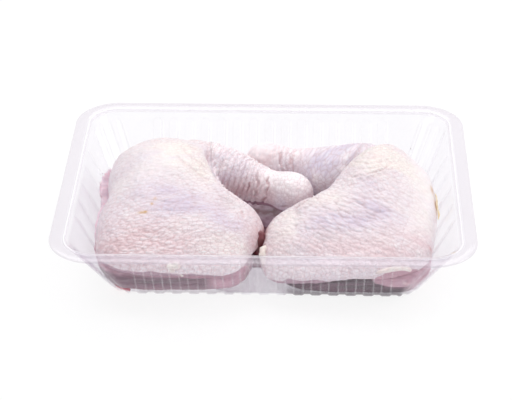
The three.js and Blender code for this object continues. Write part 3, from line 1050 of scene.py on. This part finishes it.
# %% [markdown]
# ## Juice, fat and specks
# Some bloody juice has run together on the base. Its dark colour is also painted shade, which darkens
# the gap between the legs, and a thin film of juice paints the light shade on the base in front. A dark
# web of meat paints the shade deep between the thighs. Scraps of cream fat cling to the front of the
# meat, and a few dark specks to the wall. They are too small for solids of their own. A pool is rings
# of points from its middle out to a wavy edge, and a scrap is a lumpy tube along a short path.

# %% Pools and scraps
AROUND_POOL, POOL_RINGS = 72, 9
AROUND_SCRAP, SCRAP_RINGS = 14, 18


def pool(middle, reach, deep, seed):
    """A flat pool on the base, with a wavy edge."""
    angle = np.linspace(0, 2 * math.pi, AROUND_POOL, endpoint=False)
    circle = np.stack([np.cos(angle), np.sin(angle), np.zeros(AROUND_POOL)], axis=1)
    edge = circle * [*reach, 0] * (1 + 0.2 * rough_waves(circle, 0.7, seed, 2))[:, None]
    bottom = np.array([*middle, WALL + 0.03])
    shares = np.sin(np.linspace(0, math.pi / 2, POOL_RINGS + 1)[1:])
    top = [bottom + edge * share + [0, 0, deep * (1 - share**4)] for share in shares]
    under = [bottom + edge * share for share in shares[::-1]]
    return closed_rings((top + under)[::-1], bottom, bottom + [0, 0, deep])


def scrap(path, radius, seed):
    """A lumpy string along a path, thinner at its ends."""
    line = smooth_path(path, SCRAP_RINGS + 2)
    way = unit(np.gradient(line, axis=0))
    side = unit(np.cross(way, [0, 1, 0.01]))
    over = np.cross(way, side)
    angle = np.linspace(0, 2 * math.pi, AROUND_SCRAP, endpoint=False)[:, None]
    rings = []
    for k in range(1, SCRAP_RINGS + 1):
        share = 2 * k / (SCRAP_RINGS + 1) - 1
        round_way = np.cos(angle) * side[k] + np.sin(angle) * over[k]
        out = radius * math.sqrt(1 - share**4) * round_way
        rings.append(line[k] + out * (1 + 0.35 * waves(line[k] + out, 1.6, seed))[:, None])
    return closed_rings(rings, line[0], line[-1])


def piece_of(name, shapes):
    """One piece from several closed shapes, kept inside the tray."""
    points, faces = [], []
    for shape, shape_faces in shapes:
        first = sum(map(len, points))
        faces += [tuple(first + i for i in face) for face in shape_faces]
        points.append(kept_inside(shape, 0.05))
    piece = bpy.data.objects.new(name, smooth_mesh(name, np.vstack(points), faces))
    scene.collection.objects.link(piece)
    print(name + ":", len(faces), "faces")
    return piece


print("pools and scraps are rings as well")

# %% Juice and blood
# Juice with painted shade: the pools' dark mauve stands for juice and for shade on the base between the legs.
juice_and_shade_pools = piece_of("meat_juice_and_shade", [pool((0, 27), (36, 28), 0.3, 5), pool((-4, -14), (10, 10), 0.3, 6)])
# Juice film with painted shade: its lilac grey paints the shade on the base under the front wall.
juice_film_and_shade = piece_of("juice_film_and_shade", [pool((-2, -33), (34, 19), 0.2, 4)])
blood = piece_of("blood_drop", [pool((-79, -47.5), (6.0, 3.6), 3.4, 7)])

# %% Fat, scraps of meat and specks
fat = piece_of("fat_scraps", [
    scrap([(60, -67, 25.4), (66, -66, 27.2), (72, -65.5, 28), (77, -64, 27), (79, -62.6, 24.6)], 1.3, 1),
    scrap([(-51, -66, 29.4), (-48.6, -67, 28.2), (-46, -67, 29), (-44, -66, 28.6)], 1.9, 2),
    scrap([(-49.4, -66.6, 28.8), (-48.8, -66.6, 26.4), (-47.6, -65.6, 24.2)], 1.5, 12),
    scrap([(-44.4, -63.4, 22.4), (-43.6, -62.6, 20.4), (-43, -62, 19.4)], 0.8, 3),
    scrap([(2.4, -40, 25.5), (-0.4, -44.5, 24.5), (0.8, -49.5, 20.4), (2.6, -51, 17)], 2.0, 4),
])
# Painted shade: a web of very dark meat between the thighs, where the flesh lies in deep shade.
web = piece_of("meat_web", [
    scrap([(-2.4, -33, 31), (-2.8, -35, 26), (-3.0, -37, 18), (-3.2, -38, 12)], 3.4, 9),
])
dried = piece_of("dried_scrap", [
    scrap([(94.4, 0, 36.6), (95.3, -5, 35), (95.1, -10, 33.6), (96, -15, 31.8), (95.4, -20, 31.2)], 0.55, 11),
])
SPECKS = [(102.4, 60.2, 41.2), (83.9, 68.3, 27.1), (92.7, 53.5, 20.7), (98.2, 37.3, 30), (-46.2, -64.6, 27.8)]
SPECK_REACH = np.array([0.2, 0, 0])
specks = piece_of("specks", [scrap([p - SPECK_REACH, p, p + SPECK_REACH], 0.24, 8) for p in np.array(SPECKS)])

# %% [markdown]
# ## Building materials from nodes
# Short helpers keep the node trees readable. One adds a node with its settings and inputs, and the
# others stand for what comes back most often: a colour between two, a sum, a mask, a bump.

# %% Node helpers
def node(tree, kind, inputs=None, **settings):
    """Adds a node. An input is a value, or a socket to link from."""
    made = tree.nodes.new(kind)
    for name, value in settings.items():
        setattr(made, name, value)
    for key, value in (inputs or {}).items():
        if isinstance(value, bpy.types.NodeSocket):
            tree.links.new(value, made.inputs[key])
        else:
            made.inputs[key].default_value = value
    return made


def colour(red, green, blue):
    """A colour as a screen shows it, 0 to 255, turned into the light it reflects."""
    def light(value):
        value /= 255
        return value / 12.92 if value <= 0.04045 else ((value + 0.055) / 1.055) ** 2.4
    return (light(red), light(green), light(blue), 1)


def tinted(tree, share, first, second):
    """The colour between two colours, by a share from 0 to 1."""
    return node(tree, "ShaderNodeMix", {0: share, 6: first, 7: second}, data_type="RGBA").outputs[2]


def maths(tree, how, first, second, third=0.0, **settings):
    """One sum with two or three values, such as MULTIPLY_ADD: first times second, plus third."""
    return node(tree, "ShaderNodeMath", {0: first, 1: second, 2: third}, operation=how, **settings).outputs[0]


def vector_maths(tree, how, first, second):
    """A sum with two vectors."""
    return node(tree, "ShaderNodeVectorMath", {0: first, 1: second}, operation=how).outputs[0]


def ranged(tree, value, low, high, to_low=0.0, to_high=1.0):
    """A value moved from one range to another, smoothly."""
    settings = {"Value": value, "From Min": low, "From Max": high, "To Min": to_low, "To Max": to_high}
    return node(tree, "ShaderNodeMapRange", settings, interpolation_type="SMOOTHSTEP").outputs["Result"]


def mask(tree, name):
    """A mask that was left on the mesh."""
    return node(tree, "ShaderNodeAttribute", attribute_name=name).outputs["Fac"]


print("node helpers ready")

# %% Helpers for groups and finishes
def new_group(name, inputs, outputs):
    """An empty shader node group with named sockets."""
    group = bpy.data.node_groups.new(name, "ShaderNodeTree")
    for label, kind, value in inputs:
        socket = group.interface.new_socket(label, in_out="INPUT", socket_type=kind)
        socket.default_value = value
    for label, kind in outputs:
        group.interface.new_socket(label, in_out="OUTPUT", socket_type=kind)
    return group, group.nodes.new("NodeGroupInput").outputs, group.nodes.new("NodeGroupOutput").inputs


def grouped(tree, group, inputs):
    """Places a node group in a material with its own values."""
    return node(tree, "ShaderNodeGroup", inputs, node_tree=group)


def new_finish(name):
    """A new material, its node tree and its surface shader."""
    finish = bpy.data.materials.new(name)
    finish.use_nodes = True
    return finish, finish.node_tree, finish.node_tree.nodes["Principled BSDF"]


def settle(shader, values):
    """Sets values that are the same all over, on the shader's own sockets."""
    for label, value in values.items():
        shader.inputs[label].default_value = value


def bumped(tree, surface, height, strength, distance):
    """Gives a surface bumps from a height: they catch the light, but do not move the mesh."""
    bump = node(tree, "ShaderNodeBump", {"Height": height, "Strength": strength, "Distance": distance})
    tree.links.new(bump.outputs["Normal"], surface.inputs["Normal"])


print("group and finish helpers ready")

# %% [markdown]
# ## Shared effects
# Skin, fat and meat all have soft blotches and a fine grain of bumps, only at different sizes. Each
# effect is a node group, built once and given its own values in each material.

# %% Blotches and goose bumps
def blotches_group():
    """Soft blotches: a mask from 0 to 1."""
    values = {"Size": 100.0, "Roughness": 0.6, "Middle": 0.5, "Softness": 0.15}
    sockets = [(label, "NodeSocketFloat", value) for label, value in values.items()]
    group, given, result = new_group("soft_blotches", sockets, [("Mask", "NodeSocketFloat")])
    settings = {"Vector": node(group, "ShaderNodeTexCoord").outputs["Object"], "Detail": 4.0}
    settings.update({"Scale": given["Size"], "Roughness": given["Roughness"]})
    noise = node(group, "ShaderNodeTexNoise", settings).outputs["Fac"]
    low, high = (maths(group, how, given["Middle"], given["Softness"]) for how in ("SUBTRACT", "ADD"))
    group.links.new(ranged(group, noise, low, high), result["Mask"])
    return group


def goose_bumps_group():
    """Small cushions of skin along the grain: their height, and the cracks between them."""
    group, given, result = new_group(
        "goose_bumps",
        [("Spacing", "NodeSocketFloat", 0.6), ("Stretch", "NodeSocketVector", (1.0, 1.0, 1.0))],
        [("Height", "NodeSocketFloat"), ("Cracks", "NodeSocketFloat")],
    )
    place = node(group, "ShaderNodeAttribute", attribute_name="grain").outputs["Vector"]
    drift = node(group, "ShaderNodeTexNoise", {"Vector": place, "Scale": 0.22, "Detail": 2.0}).outputs["Color"]
    moved = vector_maths(group, "MULTIPLY", drift, (2.2, 2.2, 2.2))
    bent = vector_maths(group, "MULTIPLY", vector_maths(group, "ADD", place, moved), given["Stretch"])
    settings = {"Vector": bent, "Scale": given["Spacing"]}
    for label, feature, reach in (("Height", "SMOOTH_F1", 0.8), ("Cracks", "DISTANCE_TO_EDGE", 0.12)):
        away = node(group, "ShaderNodeTexVoronoi", settings, feature=feature).outputs["Distance"]
        group.links.new(ranged(group, away, 0.0, reach, 1.0, 0.0), result[label])
    return group


BLOTCHES = blotches_group()
GOOSE_BUMPS = goose_bumps_group()
print("two shared effects")

# %% [markdown]
# ## Raw skin
# Raw skin is a thin pale sheet: cream where fat lies under it, violet where dark muscle shows
# through, and pink in the folds. Its colour is built up in layers, each held back by a mask, and some
# layers are painted light: paler fill on shaded places, painted shade in cracks, creases and where the
# legs touch, and a painted highlight on the tops of the cushions. Light goes a little way in, so it has
# subsurface scattering, and it is moist, so it has a soft shine.

# %% Skin colour
# The first shade here is painted fill light that lifts shaded places; the others lie under the skin.
UNDER_SKIN_AND_FILL_LIGHT = {
    "painted_fill_light": (252, 244, 247), "violet": (211, 200, 219), "cream": (240, 234, 229), "pink": (228, 206, 211)
}
STAINED = {"rust": (196, 150, 92), "blood": (176, 62, 60)}


def skin_colour(tree, fine, lines, height, crack):
    """The colour of raw skin: what lies under it and painted fill light, then its own pattern with painted shade
    and highlight, then bare meat, painted shade where the legs touch, and stains.
    """
    pale = grouped(tree, BLOTCHES, {"Size": 45.0}).outputs["Mask"]
    tone = tinted(tree, pale, colour(229, 219, 227), colour(236, 228, 231))
    for name, shade in UNDER_SKIN_AND_FILL_LIGHT.items():
        tone = tinted(tree, mask(tree, name), tone, colour(*shade))
    tone = tinted(tree, maths(tree, "MULTIPLY", fine, 0.2), tone, colour(232, 214, 220))
    # Painted shade in the cracks between the cushions, less of it on smooth skin.
    rugged = ranged(tree, mask(tree, "smooth"), 0, 1, 0.5, 0.1)
    tone = tinted(tree, maths(tree, "MULTIPLY", crack, rugged), tone, colour(192, 164, 170))
    # Painted highlight: the tops of the cushions are painted paler where the skin has lines.
    painted_top_highlight = ranged(tree, maths(tree, "MULTIPLY", height, lines), 0.55, 0.9, 0, 0.35)
    tone = tinted(tree, painted_top_highlight, tone, colour(240, 234, 238))
    # Painted shade in the creases.
    tone = tinted(tree, maths(tree, "MULTIPLY", mask(tree, "crease"), 0.6), tone, colour(196, 146, 150))
    flesh = tinted(tree, mask(tree, "muscle"), colour(172, 136, 152), colour(196, 150, 164))
    tone = tinted(tree, mask(tree, "bare"), tone, flesh)
    # Painted shade where the legs touch.
    tone = tinted(tree, maths(tree, "MULTIPLY", mask(tree, "contact"), 0.8), tone, colour(168, 106, 110))
    for name, shade in STAINED.items():
        tone = tinted(tree, mask(tree, name), tone, colour(*shade))
    return tone


print("skin has", len(UNDER_SKIN_AND_FILL_LIGHT), "shades from under it and", len(STAINED), "stains")

# %% Raw skin
def raw_skin():
    finish, tree, surface = new_finish("raw_skin")
    fine = grouped(tree, BLOTCHES, {"Size": 260.0, "Softness": 0.2}).outputs["Mask"]
    scales = grouped(tree, GOOSE_BUMPS, {"Spacing": 0.48, "Stretch": (0.66, 1.0, 1.0)}).outputs
    wrinkles = grouped(tree, GOOSE_BUMPS, {"Spacing": 0.4, "Stretch": (0.2, 1.0, 1.0)}).outputs
    lines = mask(tree, "lines")
    height, crack = (
        node(tree, "ShaderNodeMix", {0: lines, 2: scales[name], 3: wrinkles[name]}).outputs[0]
        for name in ("Height", "Cracks")
    )
    tree.links.new(skin_colour(tree, fine, lines, height, crack), surface.inputs["Base Color"])
    tree.links.new(ranged(tree, fine, 0, 1, 0.38, 0.5), surface.inputs["Roughness"])
    bumped(tree, surface, height, 0.6, 0.0006)
    settle(surface, {"Subsurface Weight": 0.15, "Subsurface Radius": (1.0, 0.6, 0.55), "Subsurface Scale": 0.0014})
    settle(surface, {"Coat Weight": 0.12, "Coat Roughness": 0.25})
    return finish


SKIN = raw_skin()
print(SKIN.name, "has", len(SKIN.node_tree.nodes), "nodes")

# %% [markdown]
# ## Bare meat
# Muscle is bundles of fibres, so its colour and its bumps come from noise drawn out along the leg,
# with islands of fat in it. Low down, where the mask says so, it is nearly black red. It is wetter
# than the skin and light goes deeper into it.

# %% Raw meat
def raw_meat():
    finish, tree, surface = new_finish("raw_meat")
    place = node(tree, "ShaderNodeTexCoord").outputs["Object"]
    drawn = vector_maths(tree, "MULTIPLY", place, (40.0, 260.0, 260.0))
    settings = {"Vector": drawn, "Scale": 1.0, "Detail": 5.0, "Roughness": 0.6}
    fibres = node(tree, "ShaderNodeTexNoise", settings).outputs["Fac"]
    fat = grouped(tree, BLOTCHES, {"Size": 90.0, "Middle": 0.62, "Softness": 0.06}).outputs["Mask"]
    strands = ranged(tree, fibres, 0.35, 0.65)
    tone = tinted(tree, strands, colour(182, 138, 154), colour(208, 168, 182))
    tone = tinted(tree, fat, tone, colour(226, 200, 204))
    tone = tinted(tree, mask(tree, "pale"), tone, colour(226, 202, 214))
    # Painted shade: the nearly black red of the meat's lowest part, where the dark mask says.
    shaded = tinted(tree, strands, colour(54, 12, 34), colour(90, 34, 66))
    tree.links.new(tinted(tree, mask(tree, "dark"), tone, shaded), surface.inputs["Base Color"])
    bumped(tree, surface, fibres, 0.3, 0.0006)
    settle(surface, {"Subsurface Weight": 0.2, "Subsurface Radius": (1.0, 0.4, 0.35), "Subsurface Scale": 0.002})
    settle(surface, {"Roughness": 0.32, "Specular IOR Level": 0.25, "Coat Weight": 0.06, "Coat Roughness": 0.15})
    return finish


MEAT = raw_meat()
print(MEAT.name, "has", len(MEAT.node_tree.nodes), "nodes")

# %% [markdown]
# ## Wet scraps and juice
# Fat, juice, blood and specks differ only in colour, in the size of their blotches and in how wet they
# are, so one function makes them all. The pool between the legs is a film so thin that most of what
# lies under it shows, which a share of clear shader gives; its lilac grey is juice and painted shade.

# %% Wet finishes
def wet(name, first, second, size, roughness):
    """A wet, blotchy finish between two colours, for fat, juice and specks."""
    finish, tree, surface = new_finish(name)
    blotches = grouped(tree, BLOTCHES, {"Size": size, "Softness": 0.12}).outputs["Mask"]
    tree.links.new(tinted(tree, blotches, colour(*first), colour(*second)), surface.inputs["Base Color"])
    settle(surface, {"Roughness": roughness})
    bumped(tree, surface, blotches, 0.2, 0.0002)
    return finish


def thinned(finish, share):
    """The same finish as a film that lets most of what lies under it show."""
    tree = finish.node_tree
    through = node(tree, "ShaderNodeBsdfTransparent").outputs[0]
    surface = tree.nodes["Principled BSDF"].outputs[0]
    film = node(tree, "ShaderNodeMixShader", {0: share, 1: through, 2: surface})
    tree.links.new(film.outputs[0], tree.nodes["Material Output"].inputs["Surface"])
    return finish


# Juice and painted shade: this colour darkens the base between the legs.
JUICE_AND_SHADE = wet("meat_juice_and_shade", (120, 58, 72), (206, 182, 198), 60.0, 0.12)
# Juice and painted shade: a lilac grey film for the shaded base in front.
JUICE_FILM_AND_SHADE = thinned(wet("juice_film_and_shade", (196, 168, 200), (236, 222, 238), 80.0, 0.12), 0.22)
BLOOD = wet("blood", (196, 44, 78), (214, 84, 106), 300.0, 0.15)
# The web's dark red is painted shade.
WEB = wet("meat_web_in_painted_shade", (92, 36, 42), (122, 60, 68), 120.0, 0.4)
FAT = wet("cream_fat", (246, 240, 232), (236, 220, 214), 320.0, 0.35)
DRIED = wet("dried_scrap", (228, 204, 160), (240, 226, 202), 300.0, 0.5)
SPECK = wet("dark_speck", (150, 130, 116), (98, 84, 80), 400.0, 0.5)
print("seven wet finishes")

# %% [markdown]
# ## Clear plastic
# A thin clear wall bends light too little to see. What shows is a faint haze, more of it where the
# sheet is seen edge-on, along its bends and on its rim, and mirror light at a steep angle. So the
# finish mixes a see-through shader with a hazy one and a glossy one. Real refraction would need many
# bounces through both surfaces and would look the same. How much haze there is adds up from the masks.

# %% Clear plastic
def haze_share(tree, edge_on):
    """How much haze the plastic has, added up from its cloudiness and its masks."""
    scratches = grouped(tree, BLOTCHES, {"Size": 60.0, "Softness": 0.3}).outputs["Mask"]
    cloud = ranged(tree, scratches, 0, 1, 0.012, 0.035)
    cloud = maths(tree, "MULTIPLY_ADD", maths(tree, "POWER", edge_on, 3.0), 0.1, cloud)
    cloud = maths(tree, "MULTIPLY_ADD", mask(tree, "flange"), 0.14, cloud)
    uneven = grouped(tree, BLOTCHES, {"Size": 45.0, "Softness": 0.2}).outputs["Mask"]
    # More haze on the bent flanks, which the colour below makes a painted highlight.
    streak = maths(tree, "MULTIPLY", mask(tree, "bend"), ranged(tree, uneven, 0, 1, 0.03, 0.14))
    cloud = maths(tree, "ADD", streak, cloud)
    # Painted shade: thick dark haze on the foot of the wall.
    cloud = maths(tree, "MULTIPLY_ADD", mask(tree, "foot"), 0.45, cloud)
    # More haze for the painted shade on the left end wall.
    cloud = maths(tree, "MULTIPLY_ADD", mask(tree, "left_wall_shade"), 0.07, cloud)
    # Painted highlight: much white haze on the bead's rim.
    return maths(tree, "MULTIPLY_ADD", mask(tree, "rim"), 0.6, cloud, use_clamp=True)


def clear_plastic():
    finish, tree, haze = new_finish("clear_plastic")
    # Painted highlight: the haze turns white on the bead's rim and on the bent flanks.
    bent = maths(tree, "MAXIMUM", mask(tree, "rim"), mask(tree, "bend"))
    tone = tinted(tree, bent, colour(202, 190, 202), colour(252, 251, 255))
    # Painted shade and pink reflection on the left end wall.
    tone = tinted(tree, mask(tree, "left_wall_shade"), tone, colour(188, 170, 192))
    # Painted shade: the dark of the shaded meat behind the foot.
    tone = tinted(tree, mask(tree, "foot"), tone, colour(62, 30, 48))
    tree.links.new(tone, haze.inputs["Base Color"])
    settle(haze, {"Roughness": 0.25, "Specular IOR Level": 0.1})
    # Painted glow: the haze gives off a little light of its own.
    settle(haze, {"Emission Color": (1, 0.99, 1, 1), "Emission Strength": 0.06})
    through = node(tree, "ShaderNodeBsdfTransparent", {"Color": (0.985, 0.98, 0.992, 1)}).outputs[0]
    gloss = node(tree, "ShaderNodeBsdfGlossy", {"Color": (1, 1, 1, 1), "Roughness": 0.06}).outputs[0]
    edge_on = node(tree, "ShaderNodeLayerWeight", {"Blend": 0.5}).outputs["Facing"]
    veil = {0: haze_share(tree, edge_on), 1: through, 2: haze.outputs[0]}
    veiled = node(tree, "ShaderNodeMixShader", veil).outputs[0]
    bounce = ranged(tree, maths(tree, "POWER", edge_on, 7.0), 0, 1, 0.03, 1.0)
    shiny = node(tree, "ShaderNodeMixShader", {0: bounce, 1: veiled, 2: gloss}).outputs[0]
    tree.links.new(shiny, tree.nodes["Material Output"].inputs["Surface"])
    return finish


PLASTIC = clear_plastic()
print(PLASTIC.name, "has", len(PLASTIC.node_tree.nodes), "nodes")

# %% [markdown]
# ## Putting the pack together
# Every piece rides on the one body and stands for its solid, which is hidden. Juice, fat and specks
# stand for no solid, because they were never packed.

# %% Assemble
def dress(piece, finish, replaced):
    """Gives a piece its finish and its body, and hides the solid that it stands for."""
    piece.data.materials.append(finish)
    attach(piece, "root")
    if replaced:
        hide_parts(replaced)


for clay in (left_skin, right_skin, left_meat, right_meat):
    clay.keep_masks()
dress(tray, PLASTIC, "tray")
dress(left_skin.piece, SKIN, "leg_left")
dress(left_meat.piece, MEAT, "leg_left_flesh")
dress(right_skin.piece, SKIN, "leg_right")
dress(right_meat.piece, MEAT, "leg_right_flesh")
dress(juice_and_shade_pools, JUICE_AND_SHADE, None)
dress(juice_film_and_shade, JUICE_FILM_AND_SHADE, None)
dress(blood, BLOOD, None)
dress(fat, FAT, None)
dress(web, WEB, None)
dress(dried, DRIED, None)
dress(specks, SPECK, None)
